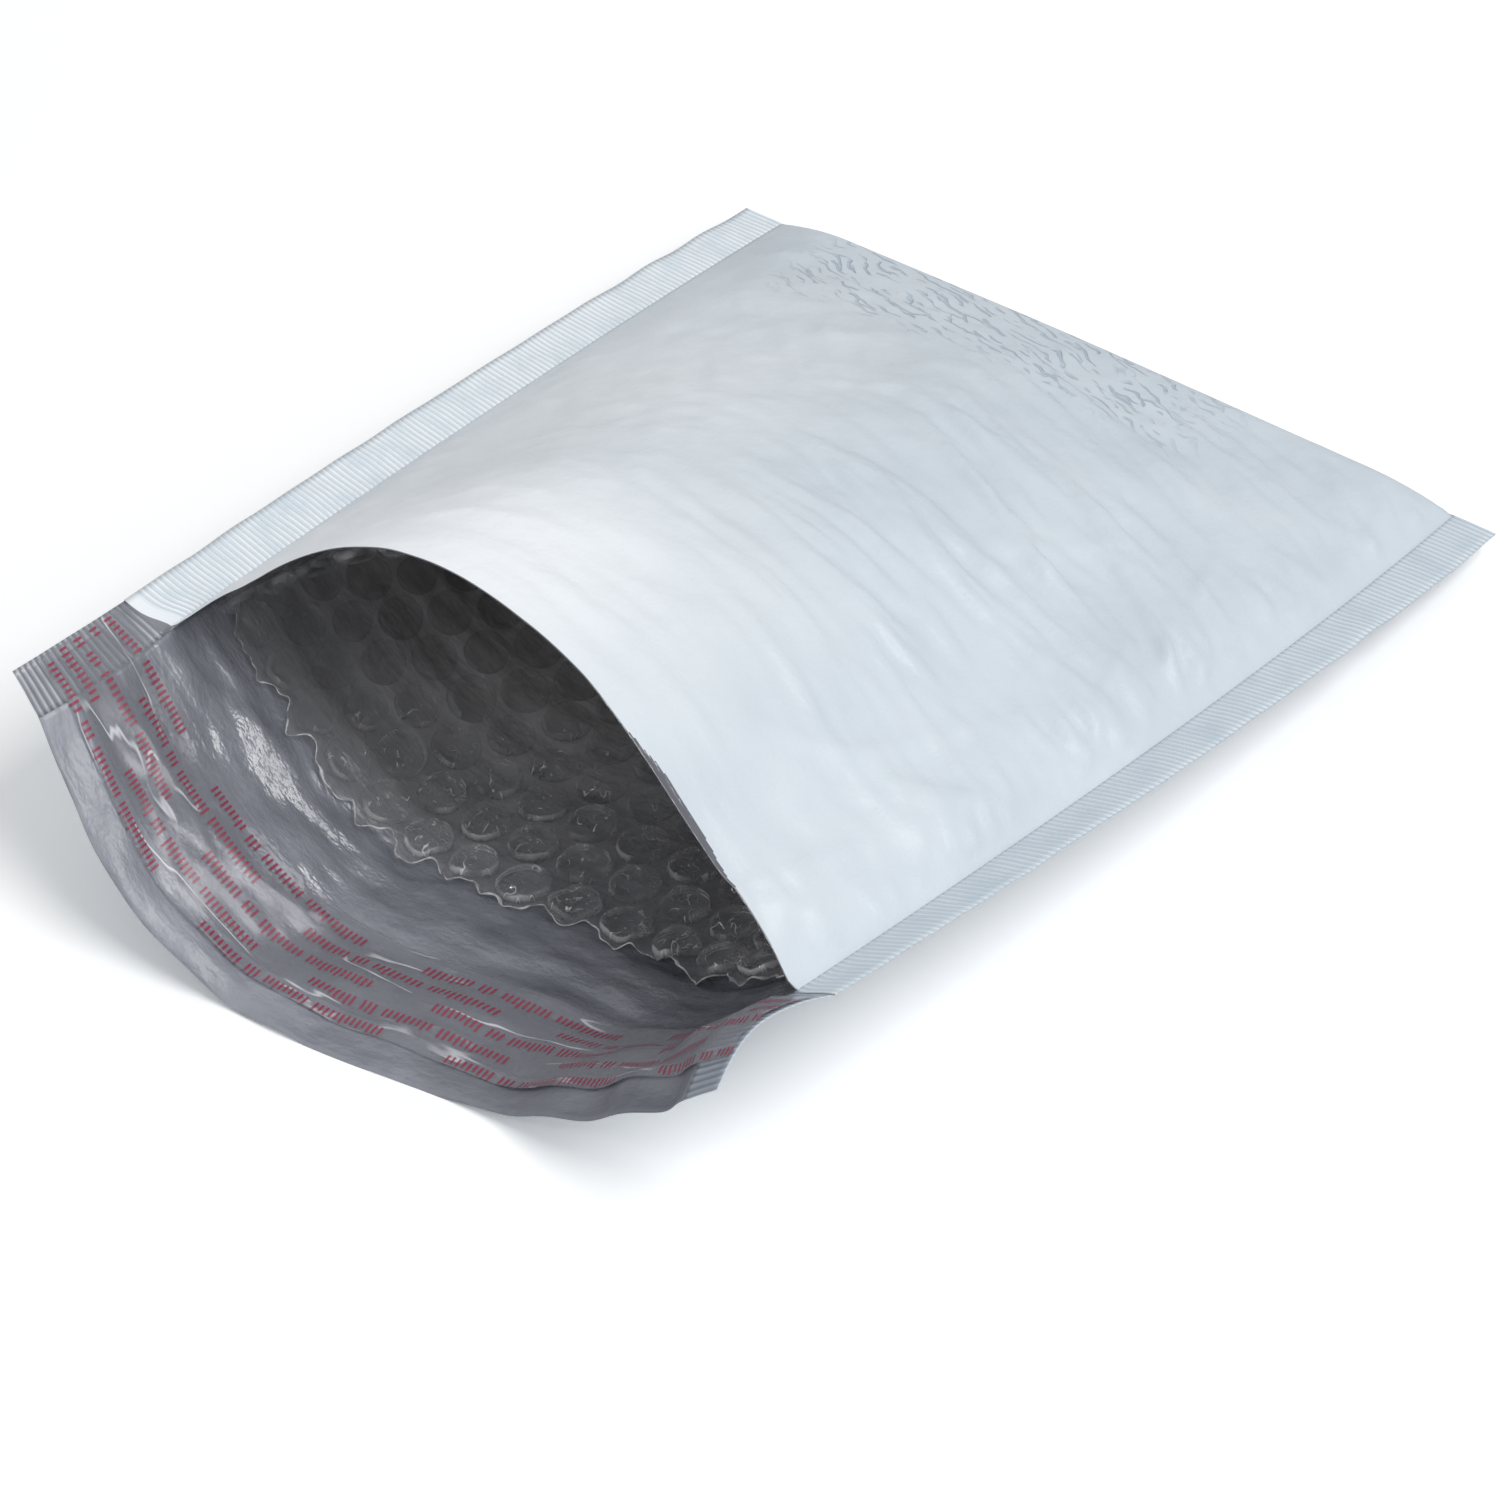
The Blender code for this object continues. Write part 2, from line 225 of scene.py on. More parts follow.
def backRelief(s, v):
    # Outward height of the back panel and flap: long shallow ripples and folds, mostly along the mouth,
    # held to a small depth where the panel is pressed on the table, and a wave at the flap's end.
    flat = np.abs(v)
    depth = envelope["depth"]
    ripples = smoothNoise(s, flat, 19, 51, 2.2) + 0.7 * smoothNoise(s, flat, 9, 52, 2.6)
    byMouth = fade(flat, 190, 204) * fade(-flat, -226, -216)
    ripples = ripples + 0.3 * smoothNoise(s, flat, 5.5, 53, 1.9) * byMouth
    height = relief["rippleHeight"] * ripples - relief["foldHeight"] * creases(s, flat, "folds")
    height = height * (0.25 + 0.75 * fade(flat, depth - 60, depth - 10))
    height = np.maximum(height, -0.4 - 1.2 * fade(flat, 200, 210))
    atEnd = fade(flat, depth + 12, webEnd)
    height = height + relief["endWave"] * smoothNoise(s, flat, 26, 58) * atEnd
    return height * fade(sealEdge - np.abs(s), 0, 8)


def makeMesh(name, points, faces, flat, slots=None, cap=None):
    # A smooth mesh object at the origin from millimetre points (n, 3) and quads (m, 4). Quads that name
    # their last point twice are triangles, and are made as such after the others. The flat coordinates
    # become a UV map in metres, slots are the faces' material numbers, and a cap gives each point's
    # place within its bubble as a second UV map.
    single = faces[:, 2] == faces[:, 3]
    order = np.concatenate([faces[~single].ravel(), faces[single][:, :3].ravel()]).astype(np.int32)
    corners = np.repeat([4, 3], [(~single).sum(), single.sum()])
    mesh = bpy.data.meshes.new(name)
    mesh.vertices.add(len(points))
    mesh.vertices.foreach_set("co", (points * 0.001).ravel())
    mesh.loops.add(len(order))
    mesh.loops.foreach_set("vertex_index", order)
    mesh.polygons.add(len(faces))
    mesh.polygons.foreach_set("loop_start", (np.cumsum(corners) - corners).astype(np.int32))
    mesh.update(calc_edges=True)
    for layer, values in (("flat", flat * 0.001), ("cap", cap)):
        if values is not None:
            mesh.uv_layers.new(name=layer).data.foreach_set("uv", values[order].ravel())
    if slots is not None:
        mesh.polygons.foreach_set("material_index", slots.astype(np.int32))
    mesh.polygons.foreach_set("use_smooth", np.full(len(faces), True))
    piece = bpy.data.objects.new(name, mesh)
    bpy.context.scene.collection.objects.link(piece)
    print(name + ":", len(faces), "faces")
    return piece


def gridFaces(rows, columns, start=0, flip=False):
    # Quads of a grid whose points are numbered row by row. A flipped one keeps the same diagonal.
    first = (np.arange(rows - 1)[:, None] * columns + np.arange(columns - 1)[None]).ravel() + start
    quads = np.stack([first, first + 1, first + columns + 1, first + columns], -1)
    return quads[:, [0, 3, 2, 1]] if flip else quads


def ringFaces(sides, rings):
    # Quads between closed rings of points that are numbered ring by ring.
    index = np.arange(sides)
    following = np.roll(index, -1)
    first = (np.arange(rings - 1) * sides)[:, None]
    quads = [first + index, first + following, first + sides + following, first + sides + index]
    return np.stack(quads, -1).reshape(-1, 4)


def fanFaces(first, second, centre):
    # Triangles from pairs of points to one centre, as makeMesh takes them.
    centres = np.full(len(first), centre)
    return np.stack([first, second, centres, centres], -1)


def closedSheet(name, outer, inner, flat, outerSlots=0, otherSlots=0):
    # A thin closed sheet between two grids of the same size. The outer grid's faces look away from
    # the inner one, and four strips of quads close the border. The outer faces have material numbers
    # of their own.
    rows, columns = outer.shape[:2]
    count = rows * columns
    number = np.arange(count).reshape(rows, columns)
    ring = np.concatenate([number[0, :-1], number[:-1, -1], number[-1, :0:-1], number[:0:-1, 0]])
    following = np.roll(ring, -1)
    border = np.stack([ring, following, following + count, ring + count], -1)
    faces = np.concatenate([gridFaces(rows, columns, flip=True), gridFaces(rows, columns, count), border])
    slots = np.full(len(faces), otherSlots)
    slots[:(rows - 1) * (columns - 1)] = outerSlots
    points = np.concatenate([outer.reshape(-1, 3), inner.reshape(-1, 3)])
    return makeMesh(name, points, faces, np.concatenate([flat.reshape(-1, 2)] * 2), slots)


def spaced(*runs):
    # Stations through several runs of (start, end, step), each run evenly divided.
    parts = [np.linspace(a, b, max(2, int(round(abs(b - a) / step)) + 1)) for a, b, step in runs]
    return np.concatenate([part[:-1] for part in parts[:-1]] + [parts[-1]])


film = {"wall": 0.14, "step": 1.25, "tuck": 0.3, "edge": 0.25, "lip": 1.8,
        "cutBack": ((-1, 2.8, 4.0), (1, 0.9, 1.5)), "cutRun": 25}


def rimBack(s, v):
    # How far the front panel's stations move back from the rim: a bell of some height and width at each
    # welded edge, which rounds the two corners and fades out along the panel.
    back = sum(high * np.exp(-((s - side * sealEdge) / wide) ** 2) for side, high, wide in film["cutBack"])
    return back * fade(v, envelope["depth"] - film["cutRun"], envelope["depth"]) * (v <= envelope["depth"])


def makeFilm():
    # The web between the two seals, from the flap's end round the fold to the rim: the web's outer face
    # moved out by the relief, and a second face one wall inside it. The inner face and the cut edges are
    # grey, and so is a lip of the outer face along the rim on the right slope, as if the rim turned over there.
    depth = envelope["depth"]
    s = spaced((-sealEdge - film["tuck"], sealEdge + film["tuck"], film["step"]))
    v = spaced((-webEnd, -depth + 45, 1.2), (-depth + 45, -30, 3.4), (-30, -10, 2), (-10, 10, 1),
               (10, depth - 3, film["step"]), (depth - 3, depth, 0.3))
    s, v = np.meshgrid(s, v)
    middleS, middleV = [(grid[:-1, :-1] + grid[1:, 1:]) / 2 for grid in (s, v)]
    lip = film["edge"] + film["lip"] * fade(middleS, 30, 44) * fade(-middleS, -68, -52)
    v = v - rimBack(s, v)
    height = np.where(v > 0, frontRelief(s, v), backRelief(s, v))
    normal = inward(s, v)
    outer = webFace(s, v) - normal * height[..., None]
    outer[..., 2] = np.maximum(outer[..., 2], envelope["tableGap"])
    inner = outer + normal * film["wall"]
    return closedSheet("poly_film", outer, inner, np.stack([s, v], -1), (middleV > depth - lip).ravel(), 1)


seals = {"ribPitch": 1.5, "ribHeight": 0.09, "perRib": 4, "columns": 9, "wander": 0.096, "wave": 0.14,
         "plainEnd": 4.2, "plainFade": 1.4, "split": 0.02}


def makeSeal(side):
    # One welded edge: a closed strip with cross ribs, of both walls along the pocket and of one
    # along the flap. Its section runs out along the upper face and back along the lower.
    depth = envelope["depth"]
    step = seals["ribPitch"] / seals["perRib"]
    p = np.concatenate([spaced((0, 1.2, 0.2), (1.2, depth, step)),
                        spaced((depth + seals["split"], webEnd, step))])
    b = np.linspace(0, 1, seals["columns"]) ** 0.9 * envelope["seal"]
    b, p = np.meshgrid(b, p)
    fromInner = envelope["seal"] - b
    wander = seals["wander"] * smoothNoise(b * 0, p, 23, 61 + side) * (1 - b / envelope["seal"])
    s = side * (envelope["width"] / 2 - b + wander)
    onFlap = p > depth
    rib = np.cos(2 * math.pi * p / seals["ribPitch"]) * fade(fromInner, 0.3, 1.6) * fade(b, 0, 0.5)
    rib = rib * seals["ribHeight"] * np.where(onFlap, 1.3, 1)
    rib = rib * (0.8 + 0.2 * smoothNoise(b, p, 14, 67 + side))
    if side < 0:
        plain = depth - seals["plainEnd"]
        rib = rib * (1 - fade(p, plain, plain + seals["plainFade"]) * ~onFlap)
    wave = seals["wave"] * smoothNoise(b, p, 16, 71 + side) * fade(fromInner, 0, 7)
    below = webFace(s, -p)
    normal = inward(s, -p)
    above = np.where(onFlap[..., None], below + normal * envelope["sealHalf"], webFace(s, p - rimBack(s, p)))
    upper = above + normal * (wave + rib)[..., None]
    lower = below + normal * (wave + rib * 0.6)[..., None]
    lower[..., 2] = np.maximum(lower[..., 2], envelope["tableGap"])
    flat = np.stack([s, np.where(onFlap, -p, p)], -1)
    if side > 0:
        upper, lower, flat = upper[:, ::-1], lower[:, ::-1], flat[:, ::-1]
    name = "side_seal_left" if side < 0 else "side_seal_right"
    return closedSheet(name, upper, lower, flat, np.repeat(onFlap[1:, 0], seals["columns"] - 1))


lining = {
    "pitch": 11.5, "row": 10, "radius": 5.1, "height": 4.0, "wall": 0.12, "depth": 0.8,
    "frontSetback": 6, "backSetback": 14, "sideInset": 2.2, "scallop": 1.6, "around": 18, "rings": 4,
    "frontGap": 0.9, "curl": 1.3, "apart": 0.7, "step": 1.15,
    "wander": ((1.0, 17, 81), (0.5, 6, 82), (0.25, 3, 88)),      # height, size, seed
    "crumple": ((0.35, 6, 95), (0.2, 2.6, 96)),
    "firstRow": 5.6, "lastRow": 5, "foldRow": 4, "sideRow": 4.6,      # bubble centres stay this far inside
    "radii": (0.93, 1.03), "heights": (0.8, 1.05), "outPower": 0.85, "upPower": 0.95,
}
bead = {"radius": 0.17, "step": 0.45, "sides": 6, "uneven": 0.3, "knot": 2.2, "knotPlace": (2.2, 1.4),
        "knotReach": 0.5, "thin": 0.45, "thinRun": (-82, -60)}


def lineNoise(s, size, seed):
    # Smooth noise along a line.
    return smoothNoise(s, s * 0, size, seed)


def liningFace(s, v, depth):
    # The web's surface at a depth inside the film's outer face, following its soft relief.
    behind = fade(v, -8, 10) * lining["frontGap"]
    return webFace(s, v) + inward(s, v) * (depth + behind - softRelief(s, v))[..., None]


def liningEdge(s, side):
    # Where the lining is cut, along v: a scalloped line between bubbles, with a little wander.
    c = lining
    wave = c["scallop"] * np.cos(2 * math.pi * s / c["pitch"]) * (0.7 + 0.5 * lineNoise(s, 30, 80))
    for height, size, seed in c["wander"]:
        wave = wave + height * lineNoise(s, size, seed)
    if side < 0:
        return -(envelope["depth"] - c["backSetback"]) - wave
    return envelope["depth"] - c["frontSetback"] + 0.4 * wave


def liningLift(s, fromEdge):
    # Extra depth near a cut edge, which curls off the film unevenly: noise above 0, faded out with the
    # distance from the edge.
    curl = lining["curl"] + 1.0 * lineNoise(s, 8, 83) + 0.5 * lineNoise(s, 3.5, 84)
    return np.maximum(curl, 0) * (1 - fade(fromEdge, 0, 6))


def bubbleRoom(s, v):
    # Height free at a point before a bubble would meet the other panel's: half the distance between the
    # panels along the normal, less what the lining takes.
    apart = webFace(s, np.abs(v)) - webFace(s, -np.abs(v))
    gap = np.abs((apart * inward(s, v)).sum(-1)) / 2
    return np.clip(gap - lining["apart"], 0, lining["height"])


def makeLining():
    # The lining's flat layer, with scalloped cut edges between its bubbles that curl off the film.
    c = lining
    side = sealEdge - c["sideInset"]
    s = spaced((-side, side, c["step"]))
    share = spaced((0, 14, 1), (14, 60, 4), (60, 340, 7), (340, 386, 4), (386, 400, 1)) / 400
    s, share = np.meshgrid(s, share)
    start, end = liningEdge(s, -1), liningEdge(s, 1)
    v = start + (end - start) * share
    outer = liningFace(s, v, c["depth"] + liningLift(s, v - start))
    inner = outer + inward(s, v) * c["wall"]
    return closedSheet("bubble_lining_film", outer, inner, np.stack([s, v], -1))


def makeBead():
    # The cut edge of the back lining, as a thin thread round the edge's line with knots where bubbles
    # were cut through: bells at every half pitch, some left out by noise. It is thinner at the left.
    c = lining
    side = sealEdge - c["sideInset"]
    s = spaced((-side, side, bead["step"]))
    v = liningEdge(s, -1)
    normal = inward(s, v)
    path = liningFace(s, v, c["depth"] + liningLift(s, 0 * s) + c["wall"])
    along = np.gradient(path, axis=0)
    across = np.cross(normal, along / np.linalg.norm(along, axis=-1, keepdims=True))
    shift, middle = bead["knotPlace"]
    place = (np.mod(s + shift, c["pitch"] / 2) - middle) / bead["knotReach"]
    knots = np.exp(-place ** 2) * np.clip(lineNoise(s, 21, 86), 0, 1)
    size = bead["radius"] * (1 + bead["uneven"] * lineNoise(s, 5, 87) + bead["knot"] * knots)
    size = size * (bead["thin"] + (1 - bead["thin"]) * fade(s, *bead["thinRun"]))
    sides = bead["sides"]
    angle = np.linspace(0, 2 * math.pi, sides, endpoint=False)[None, :, None]
    turned = np.cos(angle) * normal[:, None] + np.sin(angle) * across[:, None]
    points = path[:, None] + turned * size[:, None, None]
    points = np.concatenate([points.reshape(-1, 3), path[[0, -1]]])
    index = np.arange(sides)
    following = np.roll(index, -1)
    last = (len(s) - 1) * sides
    faces = [ringFaces(sides, len(s))[:, [1, 0, 3, 2]], fanFaces(index, following, len(points) - 2),
             fanFaces(following + last, index + last, len(points) - 1)]
    flat = np.stack([s, v], -1)
    flat = np.concatenate([np.repeat(flat, sides, axis=0), flat[[0, -1]]])
    return makeMesh("lining_edge", points, np.concatenate(faces), flat)


def makeBubbles():
    # All bubbles as closed caps: around each centre, rings rise along a flattened arc, with the radius
    # and height varied a little. Centres stand on rows, each row half a pitch along from the last.
    c = lining
    depth = envelope["depth"]
    quarter = envelope["halfThickness"] * math.pi / 2
    rows = c["backSetback"] + c["firstRow"] - depth + c["row"] * np.arange(60)
    rows = rows[rows < depth - c["frontSetback"] - c["lastRow"]]
    number, place = np.meshgrid(np.arange(len(rows)), np.arange(-20, 21), indexing="ij")
    s, v = place * c["pitch"] + (number % 2) * c["pitch"] / 2, rows[number]
    used = (np.abs(v) >= quarter + c["foldRow"]) & (np.abs(s) < sealEdge - c["sideInset"] - c["sideRow"])
    middleS, middleV = s[used], v[used]
    draw = np.random.default_rng(91)
    count = len(middleS)
    radius = c["radius"] * draw.uniform(*c["radii"], count)
    tall = np.minimum(bubbleRoom(middleS, middleV), c["height"] * draw.uniform(*c["heights"], count))
    around, rings = c["around"], c["rings"]
    angle = np.linspace(0, 2 * math.pi, around, endpoint=False)
    ring = np.linspace(0, 1, rings + 1)[:-1] * math.pi / 2
    # Local cap: out and up follow a superellipse, so that the sides are steep and the top is broad
    out = np.cos(ring) ** c["outPower"]
    up = np.sin(ring) ** c["upPower"]
    local = np.stack([out[:, None] * np.cos(angle), out[:, None] * np.sin(angle), up[:, None] + 0 * angle], -1)
    local = np.concatenate([local.reshape(-1, 3), [[0, 0, 1], [0, 0, 0]]])
    s = middleS[:, None] + radius[:, None] * local[None, :, 0]
    v = middleV[:, None] + radius[:, None] * local[None, :, 1]
    lift = tall[:, None] * local[None, :, 2] + c["depth"] + c["wall"]
    crumple = sum(height * smoothNoise(s, v, size, seed) for height, size, seed in c["crumple"])
    lift = lift + crumple * local[None, :, 2] * (tall[:, None] > 1)
    lift = lift + liningLift(s, v - liningEdge(s, -1))
    points = liningFace(s, v, lift)
    index = np.arange(around)
    following = np.roll(index, -1)
    top, last = rings * around, (rings - 1) * around
    faces = np.concatenate([ringFaces(around, rings), fanFaces(index + last, following + last, top),
                            fanFaces(following, index, top + 1)])
    faces = (faces[None] + (np.arange(count) * len(local))[:, None, None]).reshape(-1, 4)
    return makeMesh("bubbles", points.reshape(-1, 3), faces, np.stack([s, v], -1).reshape(-1, 2),
                    cap=np.tile(local[:, :2], (count, 1)))


flapStrips = {
    "adhesive": {"start": 7, "width": 15, "depth": 0.3, "wall": 0.08, "inset": 2.5},
    "liner": {"start": 3.6, "width": 21.8, "depth": 0.62, "wall": 0.08, "inset": 0.6},
    "step": 0.9,
    "crinkles": (63, 30, (-95, 95, 219, 243), (8, 26), (0.35, 0.9), (-0.3, 0.3)),
}


def makeFlapStrip(name, kind):
    # A strip across the flap between two distances past the mouth, just inside the film. The liner
    # has its own fine creases, with which it stands off the film in shallow waves.
    c = flapStrips[kind]
    end = envelope["width"] / 2 - c["inset"]
    start = -(envelope["depth"] + c["start"])
    s, v = np.meshgrid(spaced((-end, end, flapStrips["step"])),
                       spaced((start - c["width"], start, flapStrips["step"])))
    crinkle = 0
    if kind == "liner":
        lines = creaseField(s, -v, *flapStrips["crinkles"])
        crinkle = np.clip(0.35 * lines + 0.18 * smoothNoise(s, v, 8, 64, 2.4), 0, 1.2)
    outer = webFace(s, v) + inward(s, v) * (c["depth"] - backRelief(s, v) + crinkle)[..., None]
    outer[..., 2] = np.maximum(outer[..., 2], envelope["tableGap"] + c["depth"])
    inner = outer + inward(s, v) * c["wall"]
    return closedSheet(name, outer, inner, np.stack([s, v], -1))


def shaderOf(name):
    # A new material with its node tree and its Principled shader.
    material = bpy.data.materials.new(name)
    material.use_nodes = True
    tree = material.node_tree
    return material, tree, tree.nodes["Principled BSDF"]


def addNode(tree, kind, values=(), **settings):
    # A node with its settings and the values of its inputs.
    node = tree.nodes.new(kind)
    for key, value in settings.items():
        setattr(node, key, value)
    for key, value in dict(values).items():
        node.inputs[key].default_value = value
    return node


def mathsOf(tree):
    # Three functions that add maths nodes from numbers or sockets and give the result: any operation,
    # the product of several values, and one minus a value.
    def maths(operation, *values):
        node = addNode(tree, "ShaderNodeMath", operation=operation)
        for socket, value in zip(node.inputs, values):
            if isinstance(value, (int, float)):
                socket.default_value = value
            else:
                tree.links.new(value, socket)
        return node.outputs[0]

    def times(first, *others):
        for other in others:
            first = maths("MULTIPLY", first, other)
        return first

    def rest(value):
        return maths("SUBTRACT", 1.0, value)
    return maths, times, rest


def mapped(tree, vector, kind, values):
    # A vector through a mapping node with its location, rotation or scale.
    mapping = addNode(tree, "ShaderNodeMapping", values, vector_type=kind)
    tree.links.new(vector, mapping.inputs["Vector"])
    return mapping.outputs["Vector"]


def flatCoordinate(tree, alongS=1000):
    # The piece's flat coordinates, s and v, in millimetres. A lower scale along s draws noise out.
    uv = addNode(tree, "ShaderNodeUVMap", uv_map="flat").outputs["UV"]
    return mapped(tree, uv, "POINT", {"Scale": (alongS, 1000, 1000)})


def partsOf(tree, vector):
    # The first two parts of a vector, s and v in the flat coordinates.
    parts = addNode(tree, "ShaderNodeSeparateXYZ")
    tree.links.new(vector, parts.inputs["Vector"])
    return parts.outputs["X"], parts.outputs["Y"]


def lengthOf(tree, vector):
    # The root of the sum of a vector's squares.
    node = addNode(tree, "ShaderNodeVectorMath", operation="LENGTH")
    tree.links.new(vector, node.inputs[0])
    return node.outputs["Value"]


def noiseOf(tree, vector, scale, detail=3, roughness=0.55):
    # Fractal noise of a vector, about 0.5.
    noise = addNode(tree, "ShaderNodeTexNoise", {"Scale": scale, "Detail": detail, "Roughness": roughness})
    tree.links.new(vector, noise.inputs["Vector"])
    return noise.outputs["Fac"]


def rangeOf(tree, value, start, end):
    # Smooth step of a value from 0 at start to 1 at end.
    node = addNode(tree, "ShaderNodeMapRange", {"From Min": start, "From Max": end},
                   interpolation_type="SMOOTHSTEP")
    tree.links.new(value, node.inputs["Value"])
    return node.outputs["Result"]


def patchesOf(tree, vector, scale, detail, start, end, roughness=0.55):
    # A mask of soft patches: noise as a smooth step from start to end.
    return rangeOf(tree, noiseOf(tree, vector, scale, detail, roughness), start, end)


def rampOf(tree, value, *stops):
    # Colour that goes with a value between two stops, each a place and a colour.
    ramp = addNode(tree, "ShaderNodeValToRGB")
    for element, (place, colour) in zip(ramp.color_ramp.elements, stops):
        element.position, element.color = place, (*colour, 1)
    tree.links.new(value, ramp.inputs["Fac"])
    return ramp.outputs["Color"]


def mixColour(tree, factor, first, second):
    # First times one minus the factor, plus second times it. Colours are numbers or sockets.
    node = addNode(tree, "ShaderNodeMix", data_type="RGBA")
    tree.links.new(factor, node.inputs["Factor"])
    for name, value in (("A", first), ("B", second)):
        if isinstance(value, tuple):
            node.inputs[name].default_value = (*value, 1)
        else:
            tree.links.new(value, node.inputs[name])
    return node.outputs["Result"]


def mixShader(tree, factor, first, second):
    # The node that mixes two shaders in the same way.
    node = addNode(tree, "ShaderNodeMixShader")
    for socket, value in zip(node.inputs, (factor, first, second)):
        tree.links.new(value, socket)
    return node


def bumpTo(tree, shader, height, distance, strength):
    # Turns a shader's normal by the slope of a height that is given as a share of the distance.
    bump = addNode(tree, "ShaderNodeBump", {"Strength": strength, "Distance": distance})
    tree.links.new(height, bump.inputs["Height"])
    tree.links.new(bump.outputs["Normal"], shader.inputs["Normal"])


def setSurface(tree, shader, roughness, gloss, colour):
    # A Principled shader's roughness and specular level, and the socket that gives its colour.
    shader.inputs["Roughness"].default_value = roughness
    shader.inputs["Specular IOR Level"].default_value = gloss
    tree.links.new(colour, shader.inputs["Base Color"])


# Film colours, and a zone of fine crackle beside the bottom fold in flat millimetres
whiteLook = {"dark": (0.56, 0.62, 0.672), "light": (0.63, 0.688, 0.735), "paintedLight": (0.90, 0.92, 0.94),
             "paintedCreaseShading": (0.33, 0.42, 0.52), "roughness": 0.4, "gloss": 0.45}
crackle = {"from": -74, "to": 48, "start": 2, "end": 41, "line": 0.55, "bend": 12.0,
           "sets": ((0.24, 2.7, 0.0), (0.46, 3.6, 70.0))}      # turn, pitch, place


def whiteFilm():
    # Bluish-white satin film: faint cloudy colour, fine handling wrinkles as bump, and a zone of
    # crackle along the fold with painted shade in its creases, in sets of wavy lines: cosines of the
    # distance across a turned direction, bent by noise and broken up by noise that is stretched along them.
    look = whiteLook
    material, tree, shader = shaderOf("white_film")
    maths, times, rest = mathsOf(tree)
    mm = flatCoordinate(tree)
    s, v = partsOf(tree, mm)
    cloud = rampOf(tree, noiseOf(tree, mm, 0.035, 3), (0.3, look["dark"]), (0.7, look["light"]))
    lines = 0.0
    for turn, pitch, place in crackle["sets"]:
        turned = mapped(tree, mm, "TEXTURE", {"Location": (place, 0, 0), "Rotation": (0, 0, turn)})
        bend = times(noiseOf(tree, turned, 0.075, 2), crackle["bend"])
        phase = times(maths("ADD", partsOf(tree, turned)[1], bend), 2 * math.pi / pitch)
        line = rangeOf(tree, maths("COSINE", phase), crackle["line"], 1.0)
        drawn = mapped(tree, turned, "TEXTURE", {"Scale": (3, 1, 1)})
        lines = maths("MAXIMUM", lines, times(line, patchesOf(tree, drawn, 0.3, 1, 0.48, 0.56)))
    patchy = noiseOf(tree, mm, 0.09, 2)
    deep = maths("ADD", v, times(patchy, 22.0))
    zone = times(rangeOf(tree, s, crackle["from"], crackle["from"] + 14),
                 rest(rangeOf(tree, s, crackle["to"] - 30, crackle["to"])),
                 rest(rangeOf(tree, deep, crackle["end"] + 2, crackle["end"] + 14)),
                 rangeOf(tree, v, crackle["start"], crackle["start"] + 5), rangeOf(tree, patchy, 0.3, 0.5))
    lines = times(lines, zone)
    # Painted light: the colour is lighter on the left slope and toward the rim, most on the crest, standing in
    # for light the lamps don't give there
    left = times(rest(rangeOf(tree, s, -45.0, 10.0)), rangeOf(tree, v, -10.0, 120.0), 0.5)
    onCrest = rest(rangeOf(tree, s, -20.0, 50.0))
    paintedRimLight = times(rangeOf(tree, v, 110.0, 208.0), maths("MULTIPLY_ADD", onCrest, 0.8, 0.12))
    base = mixColour(tree, maths("MAXIMUM", left, paintedRimLight), cloud, look["paintedLight"])
    # Painted shade: the crackle's creases are darkened toward a grey blue
    colour = mixColour(tree, times(lines, 0.6), base, look["paintedCreaseShading"])
    setSurface(tree, shader, look["roughness"], look["gloss"], colour)
    fine = times(noiseOf(tree, mm, 0.24, 4, 0.6), 0.6)
    bumpTo(tree, shader, maths("SUBTRACT", fine, times(lines, 0.8)), 0.0008, 0.6)
    return material


ribbedLook = {
    "white": {"name": "ribbed_white_film", "groove": (0.69, 0.77, 0.83), "ridge": (0.95, 0.98, 1.0),
              "roughness": 0.4, "gloss": 0.45},
    "grey": {"name": "ribbed_grey_film", "groove": (0.20, 0.21, 0.24), "ridge": (0.52, 0.53, 0.57),
             "roughness": 0.3, "gloss": 0.9},
    "shade": (0.34, 0.42, 0.50),
}


def ribbedFilm(look):
    # Welded film: colour and bump follow the cross ribs, as a cosine of the distance along them, with
    # painted shade in the grooves and painted light on the ridges. The left corner of the front panel ends
    # in a plain lip, and the right side is a little darker with painted shade.
    material, tree, shader = shaderOf(look["name"])
    maths, times, rest = mathsOf(tree)
    mm = flatCoordinate(tree)
    s, v = partsOf(tree, mm)
    # Painted shade in the grooves and painted light on the ridges, from a cosine along the ribs
    rib = maths("MULTIPLY_ADD", maths("COSINE", times(v, 2 * math.pi / seals["ribPitch"])), 0.5, 0.5)
    start = envelope["depth"] - seals["plainEnd"]
    plain = times(rangeOf(tree, v, start, start + seals["plainFade"]), maths("LESS_THAN", s, 0.0))
    rib = times(rib, rest(plain))
    seen = maths("MAXIMUM", times(rib, patchesOf(tree, mm, 0.12, 3, 0.2, 0.6)), times(plain, 0.75))
    # Painted shade: darker toward the right side
    shade = times(rangeOf(tree, s, -20.0, 60.0), 0.42)
    colour = mixColour(tree, shade, mixColour(tree, seen, look["groove"], look["ridge"]), ribbedLook["shade"])
    setSurface(tree, shader, look["roughness"], look["gloss"], colour)
    bumpTo(tree, shader, rib, 0.0006, 0.5)
    return material


greyLook = {"dark": (0.24, 0.25, 0.29), "light": (0.34, 0.35, 0.40), "pocketPaintedLight": (1.0, 0.98, 0.99),
            "pocketPaintedShade": (0.32, 0.32, 0.35), "lip": (0.06, 0.06, 0.075), "ior": 1.8,
            "gloss": {"From Min": 0.3, "From Max": 0.7, "To Min": 0.2, "To Max": 0.36}}


